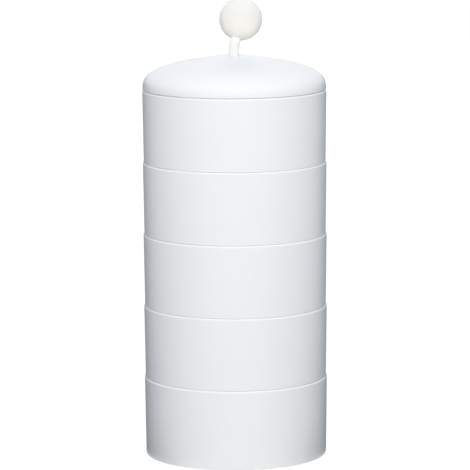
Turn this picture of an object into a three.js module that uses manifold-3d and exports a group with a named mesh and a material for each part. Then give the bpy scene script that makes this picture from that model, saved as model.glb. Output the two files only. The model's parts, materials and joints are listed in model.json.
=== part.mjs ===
import * as THREE from 'three';
import { mergeVertices } from 'three/addons/utils/BufferGeometryUtils.js';
import Module from 'manifold-3d';

const wasm = await Module();
wasm.setup();

// Tiered jewellery box: five round tiers and a domed lid, which swing out about one upright bolt
// just inside the back wall. Millimetres, +Z up, front towards -Y, origin on the table under the
// middle of the box.

// Tiers
const rimRadius = 51; // outside of a tier at its rim
const wallTaper = 0.53; // a tier is this much narrower, on each side, at its foot
const trayHeight = 40.06;
const trayCount = 4; // tiers that swing, above the base
const seamGap = 0.07; // open seam under each tray and under the lid
const trayWall = 2.2;
const floorThickness = 2.4;
const lowerEdgeRadius = 0.8; // outside, at the foot of the wall
const rimEdgeRadius = 1.1; // outside, at the rim
const rimInnerRadius = 0.6;
const floorCornerRadius = 3; // inside, where the floor meets the wall
const skirtRise = 0.6; // the base's skirt stops this far above the table

// Pivot
const pivotInset = 12; // from the outside of the rim to the bolt's axis
const boltRadius = 2.5;
const boltClearance = 0.15; // round the bolt, in every hub
const boltHeadRadius = 4.5;
const boltHeadHeight = 3;
const boltHeadRise = 2; // from the table to the head
const boltSocketRadius = 2.4; // across the corners of the six-sided drive
const boltSocketDepth = 1.8;
const boltEndProud = 0.6; // the bolt passes the top of its insert by this much
const boltEndGap = 0.4; // from the bolt's end to the end of its hole
const boltChamfer = 0.5;
const washerOverhang = 0.5; // a hub washer reaches past the bolt's head by this much
const washerThickness = 1;
const washerGap = 0.3; // between a washer and the bolt, and between a washer and its recess
const hubLand = 1.7; // wall of the hub round a washer's recess
const runningGap = 0.05; // between faces that turn on each other
const waveInset = 0.4; // the wave washer is this much smaller than a hub washer
const waveThickness = 0.3;
const waveRise = 0.25; // half the height of one wave
const waveCount = 3;
const headRecessDepth = 2.4; // how far the bolt's washers are let into the base's hub

// Lid
const lidInset = 0.13; // the lid is this much smaller than a rim, on each side
const domeHeight = 18.2; // from the lid's lower face to where the bare dome would peak
const domeRoundness = 1.53; // powers of the dome's outline, across and upwards
const domeFullness = 2.95;
const lidWall = 2.2;
const lidEdgeRadius = 0.8;
const padRadius = 13.4; // raised pad that the stem stands on
const padProud = 0.05; // above the peak of the bare dome
const padEdgeRadius = 0.6;
const bossLand = 2; // under the pad, round the knob's washer
const bossDrop = 1.5;
const insertWall = 1;
const insertInset = 0.6; // from the lid's lower face
const insertGap = 0.1; // round the insert, and between it and the bolt
const insertGrooveDepth = 0.4;
const insertGrooveShares = [0.35, 0.65]; // where the groove starts and ends along the insert

// Knob
const stemRadius = 2.7;
const stemSeatDepth = 1.2; // how far the stem stands in the pad
const stemSeatGap = 0.2;
const stemBendRise = 5.1; // the stem turns towards the ball at this height over the pad
const stemBendReach = 1.8; // from the corner of the bend to each end of its curve
const ballRadius = 11.82;
const ballRise = 19.92; // from the pad to the middle of the ball
const ballRight = 3.78;
const ballBack = 6.4;
const ballSocketDepth = 4.5; // the stem's length inside the ball
const ballSocketGap = 0.3;
const screwRadius = 1.45;
const screwReach = 3.6; // into the stem
const screwHoleGap = 0.1; // in the stem
const screwClearance = 0.3; // in the lid and the washer
const screwHeadRadius = 2.8;
const screwHeadHeight = 2;
const screwHeadEdge = 0.8;
const screwChamfer = 0.3;
const screwSlotWidth = 0.7;
const screwSlotLength = 3;
const screwSlotDepth = 1.1;
const knobWasherRadius = 4.5;
const knobWasherThickness = 0.8;

// Felt and feet
const linerThickness = 1.2;
const linerGap = 0.4; // between the felt and the hub, and to the start of the floor's corner
const footRadius = 5;
const footEdge = 0.6;
const footSkirtGap = 3.3; // between a foot and the inside of the skirt
const footAngles = [30, 150, 210, 330]; // degrees, from +X towards +Y

// Faceting
const wideSegments = 48; // round tiers, lid and felt
const smallSegments = 20; // hubs, bolt, washers and feet
const waveSegments = 24;
const arcSteps = 2; // in a quarter turn of a small edge
const domeSteps = 8;
const stemSteps = 14;
const stemSides = 16;
const ballSteps = 12; // from the bottom of the ball to its top
const ballSegments = 28;
const driveSides = 6;
const overrun = 1; // cuts start and end this far outside what they cut

// Sizes that follow from the ones above
const tierFootRadius = rimRadius - wallTaper;
const skirtInside = tierFootRadius - trayWall;
const pivotBack = rimRadius - pivotInset;
const boltBoreRadius = boltRadius + boltClearance;
const washerRadius = boltHeadRadius + washerOverhang;
const washerBore = boltRadius + washerGap;
const washerRecess = washerRadius + washerGap;
const washerSeatDepth = washerThickness + runningGap - seamGap;
const hubRadius = washerRecess + hubLand;
const waveHeight = waveThickness + 2 * waveRise;
const waveUnder = boltHeadRise + boltHeadHeight + runningGap;
const thrustUnder = waveUnder + waveHeight + runningGap;
const baseFloorUnder = thrustUnder + washerThickness - headRecessDepth;
const skirtDepth = baseFloorUnder - skirtRise;
const baseRim = baseFloorUnder + trayHeight;
const trayPitch = trayHeight + seamGap;
const lidUnder = baseRim + trayCount * trayPitch + seamGap;
const lidRadius = rimRadius - lidInset;
const lidInside = lidRadius - lidWall;
const domeInside = domeHeight - lidWall;
const padTop = domeHeight + padProud;
const bossRadius = knobWasherRadius + bossLand;
const bossUnder = domeInside - bossDrop;
const boltHoleTop = domeRiseAt(pivotBack + boltBoreRadius);
const boltTop = boltHoleTop - boltEndGap;
const insertRadius = boltRadius + insertGap + insertWall;
const insertLength = boltTop - boltEndProud - insertInset;
const linerRadius = skirtInside - floorCornerRadius - linerGap;
const footCircleRadius = skirtInside - footSkirtGap - footRadius;

const stemFoot = new THREE.Vector3(0, 0, padTop - stemSeatDepth);
const stemBend = new THREE.Vector3(0, 0, padTop + stemBendRise);
const ballCentre = new THREE.Vector3(ballRight, ballBack, padTop + ballRise);
const stemAim = ballCentre.clone().sub(stemBend).normalize();

const quarterTurn = Math.PI / 2;

// Height of the dome's inside at a distance from the middle of the lid
function domeRiseAt(radius) {
  return domeInside * (1 - (radius / lidInside) ** domeRoundness) ** (1 / domeFullness);
}

// Points of a round edge, from one angle to another about its centre
function edge(centreX, centreY, radius, from, to, steps = arcSteps) {
  const points = [];
  for (let step = 0; step <= steps; step += 1) {
    const angle = from + ((to - from) * step) / steps;
    points.push([centreX + radius * Math.cos(angle), centreY + radius * Math.sin(angle)]);
  }
  return points;
}

// A quarter of the dome's outline, from one parameter to another, 0 at its foot and a quarter
// turn at its peak
function domeArc(radius, height, from, to) {
  const points = [];
  for (let step = 0; step <= domeSteps; step += 1) {
    const angle = from + ((to - from) * step) / domeSteps;
    const across = Math.max(Math.cos(angle), 0) ** (2 / domeRoundness);
    points.push([radius * across, height * Math.sin(angle) ** (2 / domeFullness)]);
  }
  return points;
}

// Turns a profile of [radius, height] points, listed upwards on the outside, about Z
function turned(profile, segments) {
  const points = profile.map(([radius, height]) => new THREE.Vector2(radius, height));
  return new THREE.LatheGeometry(points, segments).rotateX(quarterTurn);
}

function cylinder(radius, bottom, top, segments = smallSegments) {
  return turned([[0, bottom], [radius, bottom], [radius, top], [0, top]], segments);
}

function ring(outer, inner, bottom, top, segments = smallSegments) {
  const profile = [[inner, bottom], [outer, bottom], [outer, top], [inner, top], [inner, bottom]];
  return turned(profile, segments);
}

function toSolid(geometry) {
  const bare = geometry.clone();
  bare.deleteAttribute('normal');
  bare.deleteAttribute('uv');
  const merged = mergeVertices(bare);
  const mesh = new wasm.Mesh({
    numProp: 3,
    vertProperties: new Float32Array(merged.attributes.position.array),
    triVerts: new Uint32Array(merged.index.array),
  });
  return new wasm.Manifold(mesh);
}

function toGeometry(solid) {
  const mesh = solid.getMesh();
  const geometry = new THREE.BufferGeometry();
  geometry.setAttribute('position', new THREE.BufferAttribute(mesh.vertProperties, 3));
  geometry.setIndex(new THREE.BufferAttribute(mesh.triVerts, 1));
  geometry.computeVertexNormals();
  return geometry;
}

function cut(geometry, ...tools) {
  const solid = tools.reduce((left, tool) => left.subtract(toSolid(tool)), toSolid(geometry));
  return toGeometry(solid);
}

// The boss round the bolt, a rounded block that runs back through the wall
function hubBlock(radius, bottom, top) {
  const outline = new THREE.Shape();
  outline.moveTo(radius, rimRadius);
  outline.lineTo(-radius, rimRadius);
  outline.lineTo(-radius, pivotBack);
  outline.absarc(0, pivotBack, radius, Math.PI, 2 * Math.PI, false);
  outline.closePath();
  const settings = { depth: top - bottom, bevelEnabled: false, curveSegments: smallSegments / 2 };
  return new THREE.ExtrudeGeometry(outline, settings).translate(0, 0, bottom);
}

// A round hole on the bolt's axis
function pivotHole(radius, bottom, top) {
  return cylinder(radius, bottom, top).translate(0, pivotBack, 0);
}

// The stem's centre line, upright from its seat and then aimed at the middle of the ball
function stemPath(depthInBall) {
  const end = ballCentre.clone().addScaledVector(stemAim, depthInBall - ballRadius);
  const bendStart = new THREE.Vector3(0, 0, stemBend.z - stemBendReach);
  const bendEnd = stemBend.clone().addScaledVector(stemAim, stemBendReach);
  const path = new THREE.CurvePath();
  path.add(new THREE.LineCurve3(stemFoot, bendStart));
  path.add(new THREE.QuadraticBezierCurve3(bendStart, stemBend, bendEnd));
  path.add(new THREE.LineCurve3(bendEnd, end));
  return path;
}

function tube(path, radius) {
  const section = new THREE.Shape();
  section.absarc(0, 0, radius, 0, 2 * Math.PI, false);
  const settings = { steps: stemSteps, curveSegments: stemSides, extrudePath: path };
  return new THREE.ExtrudeGeometry(section, settings);
}

// The outside of a tier, from the end of its skirt up; zero is the underside of its floor
function trayBlank(skirt) {
  return turned([
    [0, -skirt],
    ...edge(tierFootRadius - lowerEdgeRadius, lowerEdgeRadius - skirt, lowerEdgeRadius, -quarterTurn, 0),
    ...edge(rimRadius - rimEdgeRadius, trayHeight - rimEdgeRadius, rimEdgeRadius, 0, quarterTurn),
    [0, trayHeight],
  ], wideSegments);
}

// The well inside a tier, less the boss round the bolt
function trayWell() {
  const cornerCentre = skirtInside - floorCornerRadius;
  const rimCentre = rimRadius - trayWall + rimInnerRadius;
  const well = turned([
    [0, floorThickness],
    ...edge(cornerCentre, floorThickness + floorCornerRadius, floorCornerRadius, -quarterTurn, 0),
    ...edge(rimCentre, trayHeight - rimInnerRadius, rimInnerRadius, Math.PI, quarterTurn),
    [rimCentre, trayHeight + overrun],
    [0, trayHeight + overrun],
  ], wideSegments);
  return cut(well, hubBlock(hubRadius, 0, trayHeight + 2 * overrun));
}

function trayShape() {
  const bore = pivotHole(boltBoreRadius, -overrun, trayHeight + overrun);
  const seat = pivotHole(washerRecess, trayHeight - washerSeatDepth, trayHeight + overrun);
  return cut(trayBlank(0), trayWell(), bore, seat);
}

function baseShape() {
  const bore = pivotHole(boltBoreRadius, -overrun, trayHeight + overrun);
  const seat = pivotHole(washerRecess, trayHeight - washerSeatDepth, trayHeight + overrun);
  const underside = cylinder(skirtInside, -skirtDepth - overrun, 0, wideSegments);
  const headRecess = pivotHole(washerRecess, -overrun, headRecessDepth);
  return cut(trayBlank(skirtDepth), trayWell(), bore, seat, underside, headRecess);
}

function linerShape() {
  const felt = cylinder(linerRadius, 0, linerThickness, wideSegments);
  return cut(felt, hubBlock(hubRadius + linerGap, -overrun, linerThickness + overrun));
}

function footShape() {
  const profile = [[0, 0], ...edge(footRadius - footEdge, footEdge, footEdge, -quarterTurn, 0)];
  return cut(turned([...profile, [footRadius, baseFloorUnder], [0, baseFloorUnder]], smallSegments));
}

function hubWasherShape() {
  return cut(ring(washerRadius, washerBore, 0, washerThickness));
}

// A thin ring whose height goes up and down in waves
function waveWasherShape() {
  const geometry = ring(washerRadius - waveInset, washerBore, 0, waveThickness, waveSegments);
  const place = geometry.attributes.position;
  for (let index = 0; index < place.count; index += 1) {
    const angle = Math.atan2(place.getY(index), place.getX(index));
    place.setZ(index, place.getZ(index) + waveRise * (1 + Math.cos(waveCount * angle)));
  }
  return cut(geometry);
}

function boltShape() {
  const headTop = boltHeadRise + boltHeadHeight;
  const top = lidUnder + boltTop;
  const blank = turned([
    [0, boltHeadRise],
    [boltHeadRadius - boltChamfer, boltHeadRise],
    [boltHeadRadius, boltHeadRise + boltChamfer],
    [boltHeadRadius, headTop],
    [boltRadius, headTop],
    [boltRadius, top - boltChamfer],
    [boltRadius - boltChamfer, top],
    [0, top],
  ], smallSegments);
  const socketTop = boltHeadRise + boltSocketDepth;
  return cut(blank, cylinder(boltSocketRadius, boltHeadRise - overrun, socketTop, driveSides));
}

// The outside of the lid; zero is its lower face
function lidBlank() {
  const from = Math.asin((lidEdgeRadius / domeHeight) ** (domeFullness / 2));
  const to = Math.acos((padRadius / lidRadius) ** (domeRoundness / 2));
  return turned([
    [0, 0],
    ...edge(lidRadius - lidEdgeRadius, lidEdgeRadius, lidEdgeRadius, -quarterTurn, 0),
    ...domeArc(lidRadius, domeHeight, from, to).slice(1),
    ...edge(padRadius - padEdgeRadius, padTop - padEdgeRadius, padEdgeRadius, 0, quarterTurn),
    [0, padTop],
  ], wideSegments);
}

// The space inside the lid, less the boss round the bolt and the boss for the knob's screw
function lidHollow() {
  const hollow = turned([
    [0, -overrun],
    [lidInside, -overrun],
    ...domeArc(lidInside, domeInside, 0, quarterTurn),
  ], wideSegments);
  const hub = hubBlock(hubRadius, -2 * overrun, domeHeight);
  return cut(hollow, hub, cylinder(bossRadius, bossUnder, domeHeight));
}

function lidShape() {
  const insertBore = pivotHole(insertRadius + insertGap, -overrun, insertInset + insertLength);
  const boltBore = pivotHole(boltBoreRadius, 0, boltHoleTop);
  const stemSeat = cylinder(stemRadius + stemSeatGap, padTop - stemSeatDepth, padTop + overrun);
  const screwHole = cylinder(screwRadius + screwClearance, bossUnder - overrun, padTop);
  return cut(lidBlank(), lidHollow(), insertBore, boltBore, stemSeat, screwHole);
}

function insertShape() {
  const [grooveFrom, grooveTo] = insertGrooveShares.map((share) => share * insertLength);
  const bore = boltRadius + insertGap;
  const grooveRadius = insertRadius - insertGrooveDepth;
  return cut(turned([
    [bore, 0],
    [insertRadius, 0],
    [insertRadius, grooveFrom],
    [grooveRadius, grooveFrom],
    [grooveRadius, grooveTo],
    [insertRadius, grooveTo],
    [insertRadius, insertLength],
    [bore, insertLength],
    [bore, 0],
  ], smallSegments));
}

function stemShape() {
  const pilotTop = stemFoot.z + screwReach + screwHoleGap;
  const pilot = cylinder(screwRadius + screwHoleGap, stemFoot.z - overrun, pilotTop);
  return cut(tube(stemPath(ballSocketDepth), stemRadius), pilot);
}

function ballShape() {
  const outline = edge(0, 0, ballRadius, -quarterTurn, quarterTurn, ballSteps);
  const ball = turned(outline, ballSegments).translate(ballCentre.x, ballCentre.y, ballCentre.z);
  return cut(ball, tube(stemPath(ballSocketDepth + ballSocketGap), stemRadius + ballSocketGap));
}

// A round-headed screw, head down, zero where the head bears
function screwShape() {
  const top = stemFoot.z + screwReach - (bossUnder - knobWasherThickness);
  const edgeCentre = [screwHeadRadius - screwHeadEdge, screwHeadEdge - screwHeadHeight];
  const blank = turned([
    [0, -screwHeadHeight],
    ...edge(...edgeCentre, screwHeadEdge, -quarterTurn, 0),
    [screwHeadRadius, 0],
    [screwRadius, 0],
    [screwRadius, top - screwChamfer],
    [screwRadius - screwChamfer, top],
    [0, top],
  ], smallSegments);
  const slot = new THREE.BoxGeometry(screwSlotLength, screwSlotWidth, 2 * screwSlotDepth);
  const crossSlot = new THREE.BoxGeometry(screwSlotWidth, screwSlotLength, 2 * screwSlotDepth);
  return cut(blank, slot.translate(0, 0, -screwHeadHeight), crossSlot.translate(0, 0, -screwHeadHeight));
}

function finish(color, roughness, metalness = 0) {
  return new THREE.MeshStandardMaterial({ color, roughness, metalness });
}

const whiteShell = () => finish(0xf1f3f6, 0.38);
const warmWhite = () => finish(0xf4f1e9, 0.3);
const stemWhite = () => finish(0xf6f5f2, 0.45);
const greyFelt = () => finish(0xc9c8c6, 0.95);
const steel = () => finish(0xb9bcc0, 0.3, 1);
const nylon = () => finish(0xe9e7df, 0.5);
const brass = () => finish(0xc8a35a, 0.35, 1);
const rubber = () => finish(0x55565a, 0.85);

function part(name, geometry, material, x = 0, y = 0, z = 0) {
  const mesh = new THREE.Mesh(geometry, material);
  mesh.name = name;
  mesh.position.set(x, y, z);
  return mesh;
}

// The washer that carries the next tier, let into the top of a hub
function spacer(name) {
  return part(name, hubWasherShape(), nylon(), 0, pivotBack, trayHeight - washerSeatDepth);
}

function base() {
  const group = new THREE.Group();
  const tier = new THREE.Group();
  tier.position.z = baseFloorUnder;
  tier.add(part('base_tray', baseShape(), whiteShell()));
  tier.add(part('base_liner', linerShape(), greyFelt(), 0, 0, floorThickness));
  tier.add(spacer('spacer_washer_base'));
  group.add(tier);
  group.add(part('thrust_washer', hubWasherShape(), nylon(), 0, pivotBack, thrustUnder));
  group.add(part('wave_washer', waveWasherShape(), steel(), 0, pivotBack, waveUnder));
  footAngles.forEach((degrees, index) => {
    const angle = THREE.MathUtils.degToRad(degrees);
    const x = footCircleRadius * Math.cos(angle);
    const y = footCircleRadius * Math.sin(angle);
    group.add(part(`foot_${index + 1}`, footShape(), rubber(), x, y));
  });
  return group;
}

// A tier that swings; number 1 is the top one
function tray(number) {
  const group = new THREE.Group();
  group.position.z = baseRim + seamGap + (trayCount - number) * trayPitch;
  group.add(part(`tray_${number}`, trayShape(), whiteShell()));
  group.add(part(`liner_${number}`, linerShape(), greyFelt(), 0, 0, floorThickness));
  group.add(spacer(`spacer_washer_${number}`));
  return group;
}

// The lid, its knob, and the bolt that turns with it
function lid() {
  const group = new THREE.Group();
  const dome = new THREE.Group();
  dome.position.z = lidUnder;
  dome.add(part('lid_shell', lidShape(), whiteShell()));
  dome.add(part('lid_insert', insertShape(), brass(), 0, pivotBack, insertInset));
  dome.add(part('knob_stem', stemShape(), stemWhite()));
  dome.add(part('knob_ball', ballShape(), warmWhite()));
  const knobWasher = ring(knobWasherRadius, screwRadius + screwClearance, 0, knobWasherThickness);
  const washerUnder = bossUnder - knobWasherThickness;
  dome.add(part('knob_washer', cut(knobWasher), steel(), 0, 0, washerUnder));
  dome.add(part('knob_screw', screwShape(), steel(), 0, 0, washerUnder));
  group.add(dome);
  group.add(part('pivot_bolt', boltShape(), steel(), 0, pivotBack));
  return group;
}

const jewelleryBox = new THREE.Group();
jewelleryBox.add(base());
for (let number = 1; number <= trayCount; number += 1) {
  jewelleryBox.add(tray(number));
}
jewelleryBox.add(lid());

export default jewelleryBox;
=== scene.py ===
import json
import math
import bmesh
import bpy
from mathutils import Matrix, Vector


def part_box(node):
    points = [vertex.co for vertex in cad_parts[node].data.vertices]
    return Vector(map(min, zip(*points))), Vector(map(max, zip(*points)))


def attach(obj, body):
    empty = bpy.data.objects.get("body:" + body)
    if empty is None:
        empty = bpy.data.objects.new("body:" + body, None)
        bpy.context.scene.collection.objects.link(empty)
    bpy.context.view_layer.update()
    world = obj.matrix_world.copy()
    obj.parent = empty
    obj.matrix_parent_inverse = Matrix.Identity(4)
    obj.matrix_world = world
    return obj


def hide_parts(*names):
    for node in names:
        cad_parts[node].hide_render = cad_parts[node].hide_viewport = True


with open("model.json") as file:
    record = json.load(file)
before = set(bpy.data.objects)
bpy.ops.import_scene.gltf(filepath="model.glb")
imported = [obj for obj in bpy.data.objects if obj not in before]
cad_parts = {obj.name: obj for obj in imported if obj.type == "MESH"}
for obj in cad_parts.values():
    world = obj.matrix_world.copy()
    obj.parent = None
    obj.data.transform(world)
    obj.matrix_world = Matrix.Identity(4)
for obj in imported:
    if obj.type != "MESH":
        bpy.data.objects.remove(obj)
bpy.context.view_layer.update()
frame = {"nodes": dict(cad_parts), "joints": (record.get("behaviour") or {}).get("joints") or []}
scene = bpy.context.scene
mm = 0.001  # the shapes below are worked out in millimetres
fullTurn = 2 * math.pi
quarter = fullTurn / 4
print("frame loaded,", len(frame["nodes"]), "parts")


# lowest and highest corner of a part of the frame, in millimetres
def partBox(node):
    low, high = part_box(node)
    return low / mm, high / mm


# the bolt's axis is the hinge of every tier
pivotBack = frame["joints"][0]["pos_m"][1] / mm


# mesh tools: profiles are lists of (radius, height), loops are rings of vertices

def arc(centre, radius, start, end, steps):
    points = []
    for step in range(steps + 1):
        angle = start + (end - start) * step / steps
        points.append((centre[0] + radius * math.cos(angle), centre[1] + radius * math.sin(angle)))
    return points


def roundedBar(inner, outer, low, high, edge, steps=4):
    # outline of a flat ring, seen in section, with all four edges eased
    corners = [(outer - edge, low + edge, -quarter), (outer - edge, high - edge, 0),
               (inner + edge, high - edge, quarter), (inner + edge, low + edge, 2 * quarter)]
    points = []
    for x, z, start in corners:
        points += arc((x, z), edge, start, start + quarter, steps)
    return points


def addLoop(bm, points):
    return [bm.verts.new(point) for point in points]


def addRing(bm, radius, height, segments, centre=(0, 0)):
    if radius < mm:
        return addLoop(bm, [(centre[0], centre[1], height)])
    angles = [fullTurn * step / segments for step in range(segments)]
    return addLoop(bm, [(centre[0] + radius * math.cos(a), centre[1] + radius * math.sin(a), height)
                        for a in angles])


def bridge(bm, lower, upper):
    for i in range(max(len(lower), len(upper))):
        corners = [lower[i % len(lower)], lower[(i + 1) % len(lower)],
                   upper[(i + 1) % len(upper)], upper[i % len(upper)]]
        bm.faces.new(list(dict.fromkeys(corners)))


def bridgeAll(bm, loops, closed=False):
    for lower, upper in zip(loops, loops[1:]):
        bridge(bm, lower, upper)
    if closed:
        bridge(bm, loops[-1], loops[0])


def turn(bm, profile, segments, centre=(0, 0), closed=False):
    rings = [addRing(bm, radius, height, segments, centre) for radius, height in profile]
    bridgeAll(bm, rings, closed)
    return rings


def fillFlat(bm, *loops):
    # a flat face whose outline is the first loop and whose holes are the others
    edges = []
    for loop in loops:
        for a, b in zip(loop, loop[1:] + loop[:1]):
            edges.append(bm.edges.get((a, b)) or bm.edges.new((a, b)))
    bmesh.ops.triangle_fill(bm, edges=edges, use_beauty=True)


def toMesh(bm, name):
    bmesh.ops.recalc_face_normals(bm, faces=bm.faces)
    mesh = bpy.data.meshes.new(name)
    bm.to_mesh(mesh)
    bm.free()
    return mesh


def cutAway(bm, *tools):
    # exact cuts, for the few shapes that turning and lofting can't make
    blank = bpy.data.objects.new("blank", toMesh(bm, "blank"))
    scene.collection.objects.link(blank)
    cutters = []
    for tool in tools:
        cutter = bpy.data.objects.new("cutter", toMesh(tool, "cutter"))
        scene.collection.objects.link(cutter)
        cut = blank.modifiers.new("cut", "BOOLEAN")
        cut.solver = "EXACT"
        cut.object = cutter
        cutters.append(cutter)
    result = bmesh.new()
    result.from_object(blank, bpy.context.evaluated_depsgraph_get())
    for spare in [blank, *cutters]:
        bpy.data.meshes.remove(spare.data)
    return result


def addPiece(name, bm, finish, body, nodes, sharpAngle=32):
    mesh = toMesh(bm, name)
    mesh.transform(Matrix.Scale(mm, 4))
    mesh.polygons.foreach_set("use_smooth", [True] * len(mesh.polygons))
    mesh.set_sharp_from_angle(angle=math.radians(sharpAngle))
    mesh.materials.append(finish)
    piece = bpy.data.objects.new(name, mesh)
    scene.collection.objects.link(piece)
    shading = piece.modifiers.new("even shading", "WEIGHTED_NORMAL")
    shading.keep_sharp = True
    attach(piece, body)
    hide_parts(*nodes)
    return piece


# material tools

def newFinish(name, color, **fixed):
    material = bpy.data.materials.new(name)
    material.use_nodes = True
    shader = material.node_tree.nodes["Principled BSDF"]
    shader.inputs["Base Color"].default_value = (*color, 1)
    for socket, value in fixed.items():
        shader.inputs[socket].default_value = value
    return material


def addNode(owner, kind, inputs=None, **settings):
    # owner is a material or the world; an input is a value or the output of another node
    tree = owner.node_tree
    node = tree.nodes.new(kind)
    for setting, value in settings.items():
        setattr(node, setting, value)
    for socket, value in (inputs or {}).items():
        if isinstance(value, bpy.types.NodeSocket):
            tree.links.new(value, node.inputs[socket])
        else:
            node.inputs[socket].default_value = value
    return node


def toShader(material, output, socket):
    shader = material.node_tree.nodes["Principled BSDF"]
    material.node_tree.links.new(output, shader.inputs[socket])


def place(material):
    return addNode(material, "ShaderNodeTexCoord").outputs["Object"]


def noise(material, grain, detail=3, roughness=0.5, stretch=(1, 1, 1)):
    # grain is the size of one speck, in millimetres
    spread = addNode(material, "ShaderNodeMapping", {"Vector": place(material), "Scale": stretch})
    return addNode(material, "ShaderNodeTexNoise", {
        "Vector": spread.outputs["Vector"], "Scale": 1 / (grain * mm),
        "Detail": detail, "Roughness": roughness}).outputs["Fac"]


def ramp(material, source, low, high):
    # turns 0 to 1 into low to high
    return addNode(material, "ShaderNodeMapRange", {"Value": source, "To Min": low, "To Max": high},
                   clamp=True).outputs["Result"]


def blendColor(material, amount, first, second):
    # first and second are colours or the outputs of other nodes
    ends = [end if isinstance(end, bpy.types.NodeSocket) else (*end, 1) for end in (first, second)]
    return addNode(material, "ShaderNodeMix", {"Factor": amount, "A": ends[0], "B": ends[1]},
                   data_type="RGBA").outputs["Result"]


def relief(material, height, depth, under=None):
    # depth of the relief in millimetres
    inputs = {"Height": height, "Distance": depth * mm}
    if under is not None:
        inputs["Normal"] = under
    return addNode(material, "ShaderNodeBump", inputs).outputs["Normal"]


def shade(color, factor):
    return tuple(channel * factor for channel in color)


def tinted(material, look, amount):
    # the finish's own colour, drifting with the amount between its two tones
    dark, light = [shade(look["color"], tone) for tone in look["tones"]]
    return blendColor(material, amount, dark, light)


def addGrain(material, look, under=None):
    # one fine noise varies the roughness and raises the surface a little
    fine = noise(material, look["grain"], detail=look["grainDetail"])
    toShader(material, ramp(material, fine, *look["roughness"]), "Roughness")
    toShader(material, relief(material, fine, look["grainDepth"], under), "Normal")
    return fine


# finishes: roughness and tone run between two values, grains and depths are in millimetres, and
# heights are shares of the piece

satinWhite = {
    "color": (0.895, 0.9, 0.908), "tones": (0.988, 1), "mottle": 26,  # broad, hardly visible clouding
    "roughness": (0.3, 0.38), "specular": 0.46, "chalk": 0.4,
    "grain": 0.35, "grainDetail": 2, "grainDepth": 0.0035, "wave": 14, "waveDepth": 0.012,
}


def makeSatinWhite():
    look = satinWhite
    finish = newFinish("satin white moulding", look["color"], **{
        "Specular IOR Level": look["specular"], "Diffuse Roughness": look["chalk"]})
    cloud = noise(finish, look["mottle"], detail=2)
    toShader(finish, tinted(finish, look, cloud), "Base Color")
    slow = relief(finish, noise(finish, look["wave"], detail=1), look["waveDepth"])
    addGrain(finish, look, slow)
    return finish


ballWhite = {
    "color": (0.88, 0.867, 0.835), "tones": (0.985, 1), "mottle": 9,
    "underside": (0.99, 0.96, 0.895), "paintedBounceFrom": 0.62,  # painted bounce light from the lid, paler from there down
    "roughness": (0.45, 0.55), "specular": 0.3, "chalk": 0.75,  # it shades softly
    "grain": 0.5, "grainDetail": 3, "grainDepth": 0.004,
}


def makeBallWhite():
    look = ballWhite
    finish = newFinish("warm white lacquer", look["color"], **{
        "Specular IOR Level": look["specular"], "Diffuse Roughness": look["chalk"]})
    clouded = tinted(finish, look, noise(finish, look["mottle"], detail=2))
    # painted bounce light: the ball's lower part is coloured paler, standing in for light thrown up from the
    # lid
    lowest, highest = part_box("knob_ball")
    start = lowest.lerp(highest, look["paintedBounceFrom"]).z
    height = addNode(finish, "ShaderNodeSeparateXYZ", {"Vector": place(finish)}).outputs["Z"]
    below = addNode(finish, "ShaderNodeMapRange", {
        "Value": height, "From Min": start, "From Max": lowest.z}, clamp=True).outputs["Result"]
    toShader(finish, blendColor(finish, below, clouded, look["underside"]), "Base Color")
    addGrain(finish, look)
    return finish


stemWhite = {"color": (0.88, 0.88, 0.865), "tones": (0.985, 1), "roughness": (0.4, 0.5), "chalk": 0.8,
             "grain": 0.3, "grainDetail": 3, "grainDepth": 0.003}


def makeStemWhite():
    look = stemWhite
    finish = newFinish("white stem", look["color"], **{"Diffuse Roughness": look["chalk"]})
    fine = addGrain(finish, look)
    toShader(finish, tinted(finish, look, fine), "Base Color")
    return finish


greyFelt = {
    "pale": (0.7, 0.7, 0.705), "deep": (0.5, 0.5, 0.51), "contrast": (-0.4, 1.9),
    "roughness": 0.95, "specular": 0.15, "sheen": 0.35, "sheenRoughness": 0.5,
    "fibre": 0.5, "fibreDepth": 0.22, "along": (0.3, 1.2, 1), "across": (1.2, 0.3, 1),
    "clump": 4, "clumpDepth": 0.12,
}


def makeGreyFelt():
    look = greyFelt
    finish = newFinish("light grey felt", look["pale"], **{
        "Roughness": look["roughness"], "Specular IOR Level": look["specular"],
        "Sheen Weight": look["sheen"], "Sheen Roughness": look["sheenRoughness"]})
    # fibres lie both ways, so two stretched noises are laid over each other
    along, across = [noise(finish, look["fibre"], detail=4, roughness=0.7, stretch=look[way])
                     for way in ("along", "across")]
    weave = addNode(finish, "ShaderNodeMath", {0: along, 1: across}, operation="MULTIPLY").outputs["Value"]
    lifted = ramp(finish, weave, *look["contrast"])
    toShader(finish, blendColor(finish, lifted, look["deep"], look["pale"]), "Base Color")
    clumps = relief(finish, noise(finish, look["clump"]), look["clumpDepth"])
    toShader(finish, relief(finish, lifted, look["fibreDepth"], clumps), "Normal")
    return finish


zincSteel = {"color": (0.62, 0.63, 0.65), "tones": (0.86, 1), "spot": 1.6, "roughness": (0.24, 0.4),
             "ringStep": 0.25, "ringDepth": 0.01}
turnedBrass = {"color": (0.72, 0.54, 0.25), "tones": (0.8, 1), "spot": 1.2, "roughness": (0.27, 0.44),
               "ringStep": 0.2, "ringDepth": 0.008}


def makeTurnedMetal(name, look):
    finish = newFinish(name, look["color"], Metallic=1)
    spots = noise(finish, look["spot"], detail=4)
    toShader(finish, tinted(finish, look, spots), "Base Color")
    toShader(finish, ramp(finish, spots, *look["roughness"]), "Roughness")
    # the lathe's marks run round a piece, so this noise is long sideways and short upwards
    rings = noise(finish, look["ringStep"], detail=2, stretch=(0.2, 0.2, 2))
    toShader(finish, relief(finish, rings, look["ringDepth"]), "Normal")
    return finish


milkyNylon = {"color": (0.82, 0.8, 0.74), "tones": (0.94, 1), "roughness": (0.42, 0.54),
              "glow": 0.2, "glowDepth": 1, "grain": 0.4, "grainDetail": 3, "grainDepth": 0.006}


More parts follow.
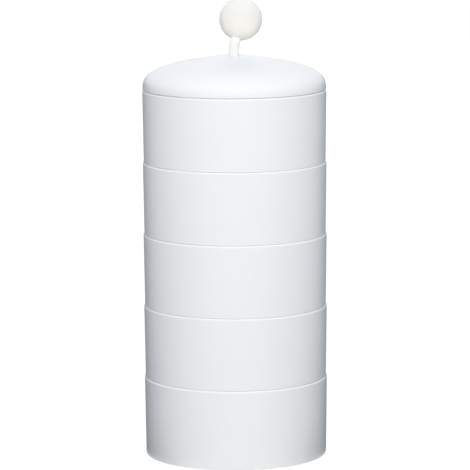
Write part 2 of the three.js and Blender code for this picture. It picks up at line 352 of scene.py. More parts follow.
def makeMilkyNylon():
    look = milkyNylon
    finish = newFinish("natural nylon", look["color"], **{
        "Subsurface Weight": look["glow"], "Subsurface Scale": look["glowDepth"] * mm})
    fine = addGrain(finish, look)
    toShader(finish, tinted(finish, look, fine), "Base Color")
    return finish


darkRubber = {"color": (0.075, 0.075, 0.08), "tones": (0.7, 1.3), "roughness": (0.7, 0.9),
              "specular": 0.3, "grain": 0.3, "grainDetail": 4, "grainDepth": 0.02}


def makeDarkRubber():
    look = darkRubber
    finish = newFinish("dark rubber", look["color"], **{"Specular IOR Level": look["specular"]})
    fine = addGrain(finish, look)
    toShader(finish, tinted(finish, look, fine), "Base Color")
    return finish


satin = makeSatinWhite()
lacquer = makeBallWhite()
stemPlastic = makeStemWhite()
felt = makeGreyFelt()
steel = makeTurnedMetal("zinc plated steel", zincSteel)
brass = makeTurnedMetal("turned brass", turnedBrass)
nylon = makeMilkyNylon()
rubber = makeDarkRubber()
print("finishes made")


# the tiers: a tapered drum with a well inside, and a boss at the back that the bolt runs through

tier = {
    "wall": 2.2, "floor": 2.4, "taper": 0.53,  # narrower at the foot by the taper, on each side
    "footEdge": 0.3, "rimEdge": 1.1, "rimInner": 0.6, "floorCorner": 3, "cornerSteps": 8,
    "bossRadius": 7, "bossFillet": 4, "boreRadius": 2.65, "recessGap": 0.3, "mouthChamfer": 0.25,
    "skirtEdge": 0.4, "skirtCorner": 1,  # under the base only
    "segments": 192, "holeSegments": 48, "edgeSteps": 6,
}
outlineSteps = {"wall": 84, "fillet": 10, "side": 3, "boss": 14}


# outline of the well from above, drawn in from its widest by inset; the boss bites into its back
def wellOutline(wallRadius, inset, bossRadius, fillet, height):
    filletX = bossRadius + fillet
    filletY = math.sqrt((wallRadius - fillet) ** 2 - filletX ** 2)
    wallEnd = math.atan2(filletY, filletX)
    bossSide = bossRadius + inset
    half = arc((0, 0), wallRadius - inset, -quarter, wallEnd, outlineSteps["wall"])
    half += arc((filletX, filletY), fillet - inset, wallEnd, 2 * quarter, outlineSteps["fillet"])[1:]
    for step in range(1, outlineSteps["side"]):
        half.append((bossSide, filletY + (pivotBack - filletY) * step / outlineSteps["side"]))
    half += arc((0, pivotBack), bossSide, 0, -quarter, outlineSteps["boss"])
    other = [(-x, y) for x, y in reversed(half[1:-1])]
    return [(x, y, height) for x, y in half + other]


def addTier(name, node, linerNode, washerNode, body):
    low, high = partBox(node)
    foot, rim, rimRadius = low.z, high.z, high.x
    footRadius = rimRadius - tier["taper"]
    skirtInside = footRadius - tier["wall"]
    floorTop = partBox(linerNode)[0].z
    floorUnder = floorTop - tier["floor"]
    segments, steps = tier["segments"], tier["edgeSteps"]
    bm = bmesh.new()

    # outside of the drum, and the inside of the skirt where the foot reaches below the floor
    hasSkirt = floorUnder - foot > tier["skirtCorner"]
    profile = []
    if hasSkirt:
        corner, edge = tier["skirtCorner"], tier["skirtEdge"]
        profile += arc((skirtInside - corner, floorUnder - corner), corner, quarter, 0, steps)
        profile += arc((skirtInside + edge, foot + edge), edge, 2 * quarter, 3 * quarter, steps)
    edge = tier["footEdge"]
    profile += arc((footRadius - edge, foot + edge), edge, -quarter, 0, steps)
    edge = tier["rimEdge"]
    profile += arc((rimRadius - edge, rim - edge), edge, 0, quarter, steps)
    drum = turn(bm, profile, segments)

    # the well, floor corner first, then the wall and its rounded rim
    wallFoot, wallTop = skirtInside, rimRadius - tier["wall"]
    corner, edge = tier["floorCorner"], tier["rimInner"]
    levels = []
    for step in range(tier["cornerSteps"] + 1):
        angle = quarter * step / tier["cornerSteps"]
        levels.append((floorTop + corner * (1 - math.cos(angle)), corner * (1 - math.sin(angle))))
    for step in range(steps + 1):
        angle = quarter * step / steps
        levels.append((rim - edge * (1 - math.sin(angle)), -edge * (1 - math.cos(angle))))
    loops = []
    for height, inset in levels:
        wallRadius = wallFoot + (wallTop - wallFoot) * (height - floorTop) / (rim - floorTop)
        outline = wellOutline(wallRadius, inset, tier["bossRadius"], tier["bossFillet"], height)
        loops.append(addLoop(bm, outline))
    bridgeAll(bm, loops)
    fillFlat(bm, loops[0])

    # the bolt's bore, with a recess for a washer at its top, and on the base one below as well
    washerLow, washerHigh = partBox(washerNode)
    recess = (washerHigh.x - washerLow.x) / 2 + tier["recessGap"]
    bore, chamfer = tier["boreRadius"], tier["mouthChamfer"]
    hole = [(bore, washerLow.z), (recess, washerLow.z), (recess, rim - chamfer), (recess + chamfer, rim)]
    if hasSkirt:
        ceiling = partBox("thrust_washer")[1].z
        below = [(recess + chamfer, floorUnder), (recess, floorUnder + chamfer),
                 (recess, ceiling), (bore, ceiling)]
    else:
        below = [(bore + chamfer, floorUnder), (bore, floorUnder + chamfer)]
    holeRings = turn(bm, below + hole, tier["holeSegments"], centre=(0, pivotBack))
    fillFlat(bm, drum[-1], loops[-1], holeRings[-1])
    fillFlat(bm, drum[0], holeRings[0])
    addPiece(name, bm, satin, body, [node])


tierNames = ["tray_1", "tray_2", "tray_3", "tray_4"]
addTier("base_shell", "base_tray", "base_liner", "spacer_washer_base", "base")
for tierName in tierNames:
    number = tierName[-1]
    addTier(f"{tierName}_shell", tierName, f"liner_{number}", f"spacer_washer_{number}", tierName)
print("tiers made")


# felt on each floor: cut to the well's outline, with a soft edge and a faint unevenness

pad = {
    "bossGap": 0.4, "fillet": 1.5, "sharpAngle": 60,
    # the edge from below: share of the thickness, and how far it lies in from the outline
    "edges": [(0, 0.12), (0.25, 0), (0.7, 0.03), (0.9, 0.14), (0.99, 0.42)], "topInset": 0.3,
    "middle": (0, -4), "middleRadius": 24, "spread": 9, "rings": 10,
    "dip": 0.07, "ripple": (5.25, 4.2), "fray": 0.05, "frayWaves": (61, 7),
}


def addFelt(name, node, body):
    low, high = partBox(node)
    thick = high.z - low.z
    bm = bmesh.new()

    def outlineAt(share, inset):
        bossRadius = tier["bossRadius"] + pad["bossGap"]
        points = wellOutline(high.x, inset + pad["fray"], bossRadius, pad["fillet"], low.z + share * thick)
        fine, broad = pad["frayWaves"]
        frayed = []
        for x, y, z in points:
            turnAt = math.atan2(y, x)
            wobble = 1 - pad["fray"] * (1 + math.sin(fine * turnAt) * math.sin(broad * turnAt)) / high.x
            frayed.append((x * wobble, y * wobble, z))
        return frayed

    loops = [addLoop(bm, outlineAt(share, inset)) for share, inset in pad["edges"]]
    fillFlat(bm, loops[0])

    # the top goes over, in even steps, from the outline to a circle and then to one point
    outline = [Vector(point) for point in outlineAt(1, pad["edges"][-1][1] + pad["topInset"])]
    middle = Vector((*pad["middle"], high.z))
    count = len(outline)
    circle = []
    for i in range(count):
        fan = i / count * fullTurn - quarter
        circle.append(middle + pad["middleRadius"] * Vector((math.cos(fan), math.sin(fan), 0)))

    def settled(point):
        # the top sinks a little here and there
        rippleX, rippleY = pad["ripple"]
        swell = math.sin(point.x / rippleX) * math.cos(point.y / rippleY + 1)
        return (point.x, point.y, high.z - pad["dip"] * (0.5 + 0.5 * swell))

    for step in range(pad["spread"] + 1):
        share = step / pad["spread"]
        loops.append(addLoop(bm, [settled(a.lerp(b, share)) for a, b in zip(outline, circle)]))
    for step in range(1, pad["rings"]):
        share = step / pad["rings"]
        loops.append(addLoop(bm, [settled(point.lerp(middle, share)) for point in circle]))
    loops.append(addLoop(bm, [settled(middle)]))
    bridgeAll(bm, loops)
    felted = addPiece(name, bm, felt, body, [node], sharpAngle=pad["sharpAngle"])


addFelt("base_felt", "base_liner", "base")
for tierName in tierNames:
    addFelt(f"{tierName}_felt", tierName.replace("tray", "liner"), tierName)
print("felt laid")


# the lid: a flattened dome with a raised pad, hollow, with a boss for the bolt and one for the knob

lid = {
    "wall": 2.2, "footEdge": 0.5, "innerEdge": 0.5, "dome": 18.2, "roundness": 1.53, "fullness": 2.95,
    "padInner": 11, "padOuter": 16.5, "padSteps": 16, "knobBossRadius": 6.5, "knobBossDrop": 1.5,
    "stemSeatDepth": 1.2, "stemSeatGap": 0.05, "screwHole": 1.75, "insertGap": 0.1, "boltEndGap": 0.4,
    "domeSteps": 56, "footSteps": 6, "innerSteps": 5, "segments": 192, "holeSegments": 48,
    "overrun": 1, "bossOverrun": 3, "bossRun": 5,  # how far the cutting shapes reach past the lid
}
# the knob's own sizes, which its seat in the lid follows
knob = {
    "stemRadius": 2.7, "bendRise": 5.1, "bendReach": 1.8, "bendSteps": 16, "straightSteps": 6, "sides": 64,
    "pilotRadius": 1.55, "pilotGap": 0.1, "ballRadius": 11.82, "ballSteps": 72, "ballSegments": 112,
    "depthInBall": 4.5, "seam": 0.05,
}

lidLow, lidHigh = partBox("lid_shell")
padTop = lidHigh.z
ballLow, ballHigh = partBox("knob_ball")
ballCentre = (ballLow + ballHigh) / 2
ballCentre.z = ballHigh.z - knob["ballRadius"]


def domeArc(radius, height, start, end, steps):
    points = []
    for step in range(steps + 1):
        angle = start + (end - start) * step / steps
        across = max(math.cos(angle), 0) ** (2 / lid["roundness"])
        points.append((radius * across, lidLow.z + height * math.sin(angle) ** (2 / lid["fullness"])))
    return points


def bossBlock(radius, low, high):
    # rounded block round the bolt, which runs back through the wall
    front = arc((0, pivotBack), radius, 2 * quarter, 4 * quarter, lid["holeSegments"] // 2)
    back = lidHigh.x + lid["bossRun"] * radius
    outline = [(-radius, back), *front, (radius, back)]
    bm = bmesh.new()
    loops = [addLoop(bm, [(x, y, z) for x, y in outline]) for z in (low, high)]
    bridgeAll(bm, loops)
    fillFlat(bm, loops[0])
    fillFlat(bm, loops[1])
    return bm


def plug(radius, low, high, centre=(0, 0)):
    bm = bmesh.new()
    turn(bm, [(0, low), (radius, low), (radius, high), (0, high)], lid["holeSegments"], centre)
    return bm


def addLid():
    radius, wall, over = lidHigh.x, lid["wall"], lid["overrun"]
    foot = lidLow.z
    domeInside = lid["dome"] - wall
    edge = lid["footEdge"]
    start = math.asin((edge / lid["dome"]) ** (lid["fullness"] / 2))
    end = math.acos((lid["padOuter"] / radius) ** (lid["roundness"] / 2))
    dome = domeArc(radius, lid["dome"], start, end, lid["domeSteps"])
    profile = [(0, foot)]
    profile += arc((radius - edge, foot + edge), edge, -quarter, 0, lid["footSteps"])
    profile += dome[1:]
    # the pad's edge is one soft swell that starts with the dome's own slope and ends level
    (nearOuter, nearHeight), (outer, height) = dome[-2:]
    width = outer - lid["padInner"]
    climb = (height - nearHeight) / (nearOuter - outer) * width
    for step in range(1, lid["padSteps"] + 1):
        t = step / lid["padSteps"]
        swell = t * t * (3 - 2 * t)
        lift = height + (padTop - height) * swell + climb * t * (1 - t) ** 2
        profile.append((outer - width * t, lift))
    profile.append((0, padTop))
    blank = bmesh.new()
    turn(blank, profile, lid["segments"])

    inside = radius - wall
    inner = lid["innerEdge"]
    hollowProfile = [(0, foot - over), (inside + inner + over, foot - over), (inside + inner, foot)]
    hollowProfile += arc((inside + inner, foot + inner), inner, 3 * quarter, 2 * quarter,
                         lid["innerSteps"])[1:]
    lowest = math.asin((inner / domeInside) ** (lid["fullness"] / 2))
    hollowProfile += domeArc(inside, domeInside, lowest, quarter, lid["domeSteps"])[1:]
    hollow = bmesh.new()
    turn(hollow, hollowProfile, lid["segments"])
    knobBossUnder = foot + domeInside - lid["knobBossDrop"]
    hollow = cutAway(hollow, bossBlock(tier["bossRadius"], foot - lid["bossOverrun"], padTop),
                     plug(lid["knobBossRadius"], knobBossUnder, padTop))

    insertLow, insertHigh = partBox("lid_insert")
    insertRadius = (insertHigh.x - insertLow.x) / 2
    boltTop = partBox("pivot_bolt")[1].z
    pivot = (0, pivotBack)
    seatRadius = knob["stemRadius"] + lid["stemSeatGap"]
    shell = cutAway(
        blank, hollow,
        plug(insertRadius + lid["insertGap"], foot - over, insertHigh.z, pivot),
        plug(tier["boreRadius"], foot, boltTop + lid["boltEndGap"], pivot),
        plug(seatRadius, padTop - lid["stemSeatDepth"], padTop + over),
        plug(lid["screwHole"], knobBossUnder - over, padTop))
    addPiece("lid_dome", shell, satin, "lid", ["lid_shell"])


addLid()
print("lid made")


# the knob: a short stem that leaves the pad upright and bends towards the middle of the ball

stemFoot = Vector((0, 0, padTop - lid["stemSeatDepth"]))
stemBend = Vector((0, 0, padTop + knob["bendRise"]))
stemAim = (ballCentre - stemBend).normalized()
stemSide = Vector((0, 0, 1)).cross(stemAim).normalized()


def stemPath(end):
    # points and directions: straight up, round the bend, then straight into the ball
    upright = (stemBend - stemFoot).normalized()
    bendStart = stemBend - knob["bendReach"] * upright
    bendEnd = stemBend + knob["bendReach"] * stemAim
    path = []
    for step in range(knob["straightSteps"]):
        path.append((stemFoot.lerp(bendStart, step / knob["straightSteps"]), upright))
    for step in range(knob["bendSteps"]):
        t = step / knob["bendSteps"]
        centre = bendStart * (1 - t) ** 2 + stemBend * (2 * t * (1 - t)) + bendEnd * t ** 2
        path.append((centre, upright.lerp(stemAim, t).normalized()))
    for step in range(knob["straightSteps"] + 1):
        path.append((bendEnd.lerp(end, step / knob["straightSteps"]), stemAim))
    return path


def addStemRings(bm, radius, end, sides):
    rings = []
    for centre, along in stemPath(end):
        up = along.cross(stemSide)
        ring = []
        for side in range(sides):
            angle = fullTurn * side / sides
            ring.append(centre + radius * (math.cos(angle) * stemSide + math.sin(angle) * up))
        rings.append(addLoop(bm, ring))
    bridgeAll(bm, rings)
    return rings


def addKnob():
    screwTop = partBox("knob_screw")[1].z
    sides = knob["sides"]
    end = ballCentre + stemAim * (knob["depthInBall"] - knob["ballRadius"])
    stem = bmesh.new()
    rings = addStemRings(stem, knob["stemRadius"], end, sides)
    hole = [addRing(stem, knob["pilotRadius"], height, sides)
            for height in (stemFoot.z, screwTop + knob["pilotGap"])]
    bridgeAll(stem, hole)
    fillFlat(stem, rings[0], hole[0])
    fillFlat(stem, hole[1])
    fillFlat(stem, rings[-1])
    addPiece("stem_bent", stem, stemPlastic, "lid", ["knob_stem"])

    ball = bmesh.new()
    radius, steps = knob["ballRadius"], knob["ballSteps"]
    profile = arc((0, ballCentre.z), radius, -quarter, quarter, steps)
    turn(ball, profile, knob["ballSegments"], centre=(ballCentre.x, ballCentre.y))
    socket = bmesh.new()
    seam = knob["seam"]
    rings = addStemRings(socket, knob["stemRadius"] + seam, end + seam * stemAim, sides)
    fillFlat(socket, rings[0])
    fillFlat(socket, rings[-1])
    addPiece("ball_turned", cutAway(ball, socket), lacquer, "lid", ["knob_ball"])


addKnob()
print("knob made")


# turned metal: threads are cut as a true helix, with sloping sides and narrow flats

threadForm = {"rowsPerTurn": 8, "slope": 1.25, "flat": 0.125}


def threadRadius(radius, depth, pitch, height, angle, low, high):
    phase = ((height - low) / pitch - angle / fullTurn) % 1
    groove = max(0, min(1, threadForm["slope"] * abs(2 * phase - 1) - threadForm["flat"]))
    fade = max(0, min(1, (height - low) / pitch, (high - height) / pitch))
    return radius - depth * fade * (1 - groove)


def addThread(bm, radius, depth, pitch, low, high, segments, centre):
    rows = round((high - low) / pitch * threadForm["rowsPerTurn"])
    loops = []
    for row in range(rows + 1):
        height = low + (high - low) * row / rows
        ring = []
        for step in range(segments):
            angle = fullTurn * step / segments
            across = threadRadius(radius, depth, pitch, height, angle, low, high)
            ring.append((centre[0] + across * math.cos(angle), centre[1] + across * math.sin(angle), height))
        loops.append(addLoop(bm, ring))
    bridgeAll(bm, loops)
    return loops


bolt = {
    "radius": 2.5, "headHeight": 3, "headChamfer": 0.5, "headKnee": (0.15, 0.35), "headTopEdge": 0.2,
    "socketSides": 6, "socketCorner": 2.4, "socketDepth": 1.8, "socketCone": 0.6, "socketLip": 0.15,
    "neck": 0.35, "endChamfer": 0.5, "threadPitch": 0.8, "threadDepth": 0.42, "threadLead": 2,
    "edgeSteps": 3, "neckSteps": 4, "segments": 48,
}


def polygonLoop(bm, corners, radius, height, count, centre):
    # a polygon drawn with as many points as the ring that it joins
    points = []
    reach = radius * math.cos(math.pi / corners)
    for step in range(count):
        angle = fullTurn * step / count
        local = (angle % (fullTurn / corners)) - math.pi / corners
        across = reach / math.cos(local)
        points.append((centre[0] + across * math.cos(angle), centre[1] + across * math.sin(angle), height))
    return addLoop(bm, points)


def addBolt():
    low, high = partBox("pivot_bolt")
    centre, segments = (0, pivotBack), bolt["segments"]
    bm = bmesh.new()

    # the hexagon socket, from its coned bottom to its mouth
    socketTop, corner, lip = low.z + bolt["socketDepth"], bolt["socketCorner"], bolt["socketLip"]
    loops = [addRing(bm, 0, socketTop + bolt["socketCone"], segments, centre)]
    for across, height in ((corner, socketTop), (corner, low.z + lip), (corner + lip, low.z)):
        loops.append(polygonLoop(bm, bolt["socketSides"], across, height, segments, centre))

    # the head's outside, then the fillet that leads to the shank
    headRadius, headTop = high.x, low.z + bolt["headHeight"]
    chamfer, edge, neck = bolt["headChamfer"], bolt["headTopEdge"], bolt["neck"]
    kneeIn, kneeUp = bolt["headKnee"]
    head = [(headRadius - chamfer, low.z), (headRadius - kneeIn, low.z + kneeUp),
            (headRadius, low.z + chamfer)]
    head += arc((headRadius - edge, headTop - edge), edge, 0, quarter, bolt["edgeSteps"])
    head += arc((bolt["radius"] + neck, headTop + neck), neck, -quarter, -2 * quarter, bolt["neckSteps"])
    loops += [addRing(bm, radius, height, segments, centre) for radius, height in head]
    bridgeAll(bm, loops)

    threadLow = partBox("lid_insert")[0].z - bolt["threadLead"]
    threadHigh = high.z - bolt["endChamfer"]
    thread = addThread(bm, bolt["radius"], bolt["threadDepth"], bolt["threadPitch"], threadLow, threadHigh,
                       segments, centre)
    tip = addRing(bm, bolt["radius"] - bolt["endChamfer"], high.z, segments, centre)
    bridge(bm, loops[-1], thread[0])
    bridge(bm, thread[-1], tip)
    fillFlat(bm, tip)
    addPiece("bolt_steel", bm, steel, "lid", ["pivot_bolt"])


addBolt()

insert = {"boreGap": 0.1, "groove": 0.4, "grooveShares": (0.35, 0.65), "grooveSlope": 0.05,
          "knurlCount": 40, "knurlDepth": 0.14, "chamfer": 0.25, "segments": 160}


def addInsert():
    low, high = partBox("lid_insert")
    radius = (high.x - low.x) / 2
    bore = bolt["radius"] + insert["boreGap"]
    length = high.z - low.z
    fromGroove, toGroove = [low.z + share * length for share in insert["grooveShares"]]
    chamfer, slope, groove = insert["chamfer"], insert["grooveSlope"], radius - insert["groove"]
    # radius, height and whether the knurl is cut there
    profile = [(bore + chamfer, low.z, 0), (radius - chamfer, low.z, 0), (radius, low.z + chamfer, 1),
               (radius, fromGroove, 1), (groove, fromGroove + slope, 0), (groove, toGroove - slope, 0),
               (radius, toGroove, 1), (radius, high.z - chamfer, 1), (radius - chamfer, high.z, 0),
               (bore + chamfer, high.z, 0), (bore, high.z - chamfer, 0), (bore, low.z + chamfer, 0)]
    bm = bmesh.new()
    loops = []
    for across, height, knurled in profile:
        ring = []
        for step in range(insert["segments"]):
            angle = fullTurn * step / insert["segments"]
            ridge = abs((angle / fullTurn * insert["knurlCount"]) % 1 * 2 - 1)
            reach = across - knurled * insert["knurlDepth"] * ridge
            ring.append((reach * math.cos(angle), pivotBack + reach * math.sin(angle), height))
        loops.append(addLoop(bm, ring))
    bridgeAll(bm, loops, closed=True)
    addPiece("insert_brass", bm, brass, "lid", ["lid_insert"])


addInsert()

screw = {
    "radius": 1.45, "headHeight": 2, "headEdge": 0.8, "headSteps": 6, "seatEdge": 0.1,
    "slotWidth": 0.7, "slotLength": 3, "slotDepth": 1.1, "slotCone": 0.2, "slotTaper": 0.8,
    "pitch": 0.5, "threadDepth": 0.26, "chamfer": 0.3, "segments": 48,
}


def crossLoop(bm, halfLength, halfWidth, height, count):
    # a plus sign drawn with as many points as the ring that it joins
    points = []
    for step in range(count):
        angle = fullTurn * step / count
        x, y = abs(math.cos(angle)), abs(math.sin(angle))
        steep, flat = max(x, y), min(x, y)
        across = min(halfLength / steep, halfWidth / flat if flat > mm else halfLength / steep)
        across = max(across, halfWidth / steep)
        points.append((across * math.cos(angle), across * math.sin(angle), height))
    return addLoop(bm, points)


def addScrew():
    low, high = partBox("knob_screw")
    headRadius = high.x
    bearing = low.z + screw["headHeight"]
    segments, edge, seat = screw["segments"], screw["headEdge"], screw["seatEdge"]
    bm = bmesh.new()

    # the cross in the head, which narrows towards its bottom
    half, width, taper = screw["slotLength"] / 2, screw["slotWidth"] / 2, screw["slotTaper"]
    slotTop = low.z + screw["slotDepth"]
    loops = [addRing(bm, 0, slotTop + screw["slotCone"], segments),
             crossLoop(bm, half * taper, width * taper, slotTop, segments),
             crossLoop(bm, half, width, low.z, segments)]
    head = arc((headRadius - edge, low.z + edge), edge, -quarter, 0, screw["headSteps"])
    head += [(headRadius, bearing - seat), (headRadius - seat, bearing), (screw["radius"] + seat, bearing)]
    loops += [addRing(bm, radius, height, segments) for radius, height in head]
    bridgeAll(bm, loops)
    threadTop = high.z - screw["chamfer"]
    thread = addThread(bm, screw["radius"], screw["threadDepth"], screw["pitch"], bearing + seat, threadTop,
                       segments, (0, 0))
    tip = addRing(bm, screw["radius"] - screw["chamfer"], high.z, segments)
    bridge(bm, loops[-1], thread[0])
    bridge(bm, thread[-1], tip)
    fillFlat(bm, tip)
    addPiece("screw_cross", bm, steel, "lid", ["knob_screw"])


addScrew()
print("bolt, insert and screw made")


# washers and feet

washer = {"boreGap": 0.3, "edge": {"nylon": 0.15, "steel": 0.12}, "segments": 96}


def addWasher(name, node, finish, slot, body, bore):
    low, high = partBox(node)
    radius = (high.x - low.x) / 2
    bm = bmesh.new()
    turn(bm, roundedBar(bore, radius, low.z, high.z, washer["edge"][slot]), washer["segments"],
         centre=((low.x + high.x) / 2, (low.y + high.y) / 2), closed=True)
    addPiece(name, bm, finish, body, [node])


pivotBore = bolt["radius"] + washer["boreGap"]
addWasher("washer_base", "spacer_washer_base", nylon, "nylon", "base", pivotBore)
addWasher("washer_thrust", "thrust_washer", nylon, "nylon", "base", pivotBore)
for tierName in tierNames:
    number = tierName[-1]
    addWasher(f"washer_{number}", f"spacer_washer_{number}", nylon, "nylon", tierName, pivotBore)
addWasher("washer_knob", "knob_washer", steel, "steel", "lid", lid["screwHole"])

wave = {"thickness": 0.3, "edge": 0.06, "count": 3, "segments": 120}


def addWaveWasher():
    low, high = partBox("wave_washer")
    radius = (high.x - low.x) / 2
    rise = (high.z - low.z - wave["thickness"]) / 2
    bm = bmesh.new()
    section = roundedBar(pivotBore, radius, low.z, low.z + wave["thickness"], wave["edge"], steps=2)
    turn(bm, section, wave["segments"], centre=(0, pivotBack), closed=True)
    for vertex in bm.verts:
        angle = math.atan2(vertex.co.y - pivotBack, vertex.co.x)
        vertex.co.z += rise * (1 + math.cos(wave["count"] * angle))
    addPiece("washer_wave", bm, steel, "base", ["wave_washer"])


addWaveWasher()

rubberFoot = {"edge": 0.6, "topEdge": 0.2, "edgeSteps": 6, "topSteps": 4, "segments": 72}


def addFoot(node):
    low, high = partBox(node)
    radius = (high.x - low.x) / 2
    edge, topEdge = rubberFoot["edge"], rubberFoot["topEdge"]
    profile = [(0, low.z)]
    profile += arc((radius - edge, low.z + edge), edge, -quarter, 0, rubberFoot["edgeSteps"])
    profile += arc((radius - topEdge, high.z - topEdge), topEdge, 0, quarter, rubberFoot["topSteps"])
    profile.append((0, high.z))
    bm = bmesh.new()
    turn(bm, profile, rubberFoot["segments"], centre=((low.x + high.x) / 2, (low.y + high.y) / 2))
    addPiece(node.replace("foot", "foot_rubber"), bm, rubber, "base", [node])


for footName in ("foot_1", "foot_2", "foot_3", "foot_4"):
    addFoot(footName)
print("washers and feet made")


# the stage is laid out in metres; the camera stands 1.8 m away and a little above the lid

camera = {"place": (-0.00005, -1.8017, 0.3992), "pitch": 81.295, "roll": -0.326, "lens": 250.45,
          "sensor": 36, "clip": (0.05, 40)}


def addCamera():
    data = bpy.data.cameras.new("camera")
    data.lens, data.sensor_width = camera["lens"], camera["sensor"]
    data.clip_start, data.clip_end = camera["clip"]
    viewer = bpy.data.objects.new("camera", data)
    tilt = Matrix.Rotation(math.radians(camera["pitch"]), 4, "X")
    roll = Matrix.Rotation(math.radians(camera["roll"]), 4, "Z")
    viewer.matrix_world = Matrix.Translation(camera["place"]) @ tilt @ roll
    scene.collection.objects.link(viewer)
    scene.camera = viewer


addCamera()


# light: a soft panel above the camera, a faint low one, one behind the box, and a dim cool room

lights = {
    "front": {"place": (0.045, -1.5, 1.1), "size": (1.9, 1.1), "watts": 27.2, "color": (1, 0.937, 0.882)},
    "low": {"place": (0, -2.2, 0.4), "size": (2.4, 0.6), "watts": 3.7, "color": (1, 0.937, 0.882)},
    "back": {"place": (0, 1.9, 0.5), "size": (1.6, 1.0), "watts": 27, "color": (1, 0.95, 0.9)},
}
lightAim = Vector((0, 0, 0.13))
room = {"color": (0.635, 0.815, 1), "strength": 0.403, "backdrop": 1}


def addLight(name):
    look = lights[name]
    data = bpy.data.lights.new(name, "AREA")
    data.shape = "RECTANGLE"
    data.size, data.size_y = look["size"]
    data.energy = look["watts"]
    data.color = look["color"]
    panel = bpy.data.objects.new(name, data)
    panel.location = look["place"]
    panel.rotation_euler = (lightAim - panel.location).to_track_quat("-Z", "Y").to_euler()
    panel.visible_camera = False
    panel.visible_glossy = False  # a satin surface shows no image of the panels
    scene.collection.objects.link(panel)


for lightName in lights:
    addLight(lightName)


def directRays(owner):
    # 1 for rays that should see the white surroundings, 0 for those that only carry light
    rays = addNode(owner, "ShaderNodeLightPath").outputs
    total = rays["Is Camera Ray"]
    for name in ("Is Glossy Ray", "Is Transmission Ray"):
        total = addNode(owner, "ShaderNodeMath", {0: total, 1: rays[name]},
                        operation="MAXIMUM").outputs["Value"]
    return total


def addRoom():
    world = bpy.data.worlds.new("white room")
    scene.world = world
    world.use_nodes = True
    world.node_tree.nodes.clear()
    dim = addNode(world, "ShaderNodeBackground", {
        "Color": (*room["color"], 1), "Strength": room["strength"]})
    white = addNode(world, "ShaderNodeBackground", {"Color": (1, 1, 1, 1), "Strength": room["backdrop"]})
    mix = addNode(world, "ShaderNodeMixShader", {
        "Fac": directRays(world), 1: dim.outputs["Background"], 2: white.outputs["Background"]})
    addNode(world, "ShaderNodeOutputWorld", {"Surface": mix.outputs["Shader"]})


addRoom()


def addStagePlane(name, corners, faces, material):
    mesh = bpy.data.meshes.new(name)
    mesh.from_pydata(corners, [], faces)
    mesh.materials.append(material)
    plane = bpy.data.objects.new(name, mesh)
    scene.collection.objects.link(plane)
    return plane


# the floor looks white but sends back only its own colour's share of the light

ground = {"half": 9, "color": (0.46, 0.47, 0.48), "whiteShare": 0.86, "white": 1.155}


def addFloor():
    material = bpy.data.materials.new("pale floor")
    material.use_nodes = True
    material.node_tree.nodes.clear()
    matt = addNode(material, "ShaderNodeBsdfDiffuse", {"Color": (*ground["color"], 1)})
    glow = addNode(material, "ShaderNodeEmission", {"Strength": ground["white"]})
    share = addNode(material, "ShaderNodeMath", {0: directRays(material), 1: ground["whiteShare"]},
                    operation="MULTIPLY")
    mix = addNode(material, "ShaderNodeMixShader", {
        "Fac": share.outputs["Value"], 1: matt.outputs["BSDF"], 2: glow.outputs["Emission"]})
    addNode(material, "ShaderNodeOutputMaterial", {"Surface": mix.outputs["Shader"]})
    half = ground["half"]
    corners = [(-half, -half, 0), (half, -half, 0), (half, half, 0), (-half, half, 0)]
    addStagePlane("floor", corners, [(0, 1, 2, 3)], material)


addFloor()

# black cards round the sides of the box, so that its sides fall off as they should: an upright one and
# two mats on the floor that only its shine sees, and a flag on the floor that only its shading sees;
# angles are counted in degrees from straight behind the box, and each fades out over the last of them

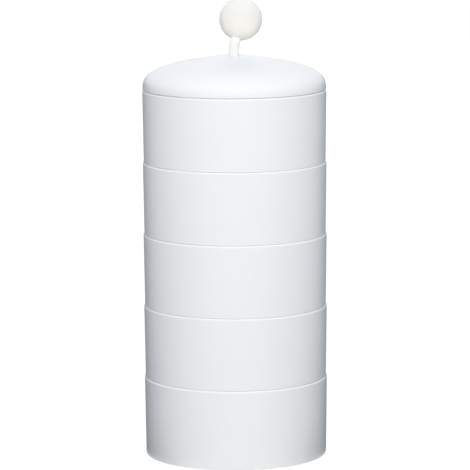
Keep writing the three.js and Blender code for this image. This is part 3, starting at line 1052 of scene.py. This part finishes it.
cards = {
    "card": {"near": 0.26, "reach": 0.26, "low": 0.001, "high": 0.235, "from": 0, "to": 76, "fade": 24,
             "shine": True},
    "mat": {"near": 0.0512, "reach": 0.34, "low": 0.001, "high": 0.001, "from": 0, "to": 100, "fade": 36,
            "shine": True},
    "rug": {"near": 0.0512, "reach": 0.115, "low": 0.0014, "high": 0.0014, "from": 0, "to": 165, "fade": 60,
            "shine": True},
    "flag": {"near": 0.0515, "reach": 0.5, "low": 0.002, "high": 0.002, "from": 20, "to": 150, "fade": 36,
             "shine": False},
}
cardSteps = 24


def makeCardBlack(name, look):
    material = bpy.data.materials.new(f"black {name}")
    material.use_nodes = True
    material.node_tree.nodes.clear()
    black = addNode(material, "ShaderNodeBsdfDiffuse", {"Color": (0, 0, 0, 1)})
    clear = addNode(material, "ShaderNodeBsdfTransparent")
    spot = addNode(material, "ShaderNodeSeparateXYZ", {"Vector": place(material)})
    aside = addNode(material, "ShaderNodeMath", {0: spot.outputs["X"]}, operation="ABSOLUTE")
    angle = addNode(material, "ShaderNodeMath", {0: aside.outputs["Value"], 1: spot.outputs["Y"]},
                    operation="ARCTAN2")
    fade = addNode(material, "ShaderNodeMapRange", {
        "Value": angle.outputs["Value"], "From Min": math.radians(look["to"] - look["fade"]),
        "From Max": math.radians(look["to"])}, clamp=True)
    mix = addNode(material, "ShaderNodeMixShader", {
        "Fac": fade.outputs["Result"], 1: black.outputs["BSDF"], 2: clear.outputs["BSDF"]})
    addNode(material, "ShaderNodeOutputMaterial", {"Surface": mix.outputs["Shader"]})
    return material


def addCard(name, side, look, material):
    # near and far edge are arcs round the box
    corners, faces = [], []
    for step in range(cardSteps + 1):
        angle = math.radians(look["from"] + (look["to"] - look["from"]) * step / cardSteps)
        x, y = side * math.sin(angle), math.cos(angle)
        corners.append((x * look["near"], y * look["near"], look["low"]))
        corners.append((x * look["reach"], y * look["reach"], look["high"]))
    for step in range(cardSteps):
        faces.append((2 * step, 2 * step + 2, 2 * step + 3, 2 * step + 1))
    plane = addStagePlane(name, corners, faces, material)
    plane.visible_camera = False
    plane.visible_glossy = look["shine"]
    plane.visible_diffuse = not look["shine"]
    plane.visible_transmission = False
    plane.visible_shadow = False


for cardName, cardLook in cards.items():
    cardBlack = makeCardBlack(cardName, cardLook)
    addCard(f"{cardName}_left", -1, cardLook, cardBlack)
    addCard(f"{cardName}_right", 1, cardLook, cardBlack)

scene.view_settings.view_transform = "Standard"
print("camera, light and floor made")
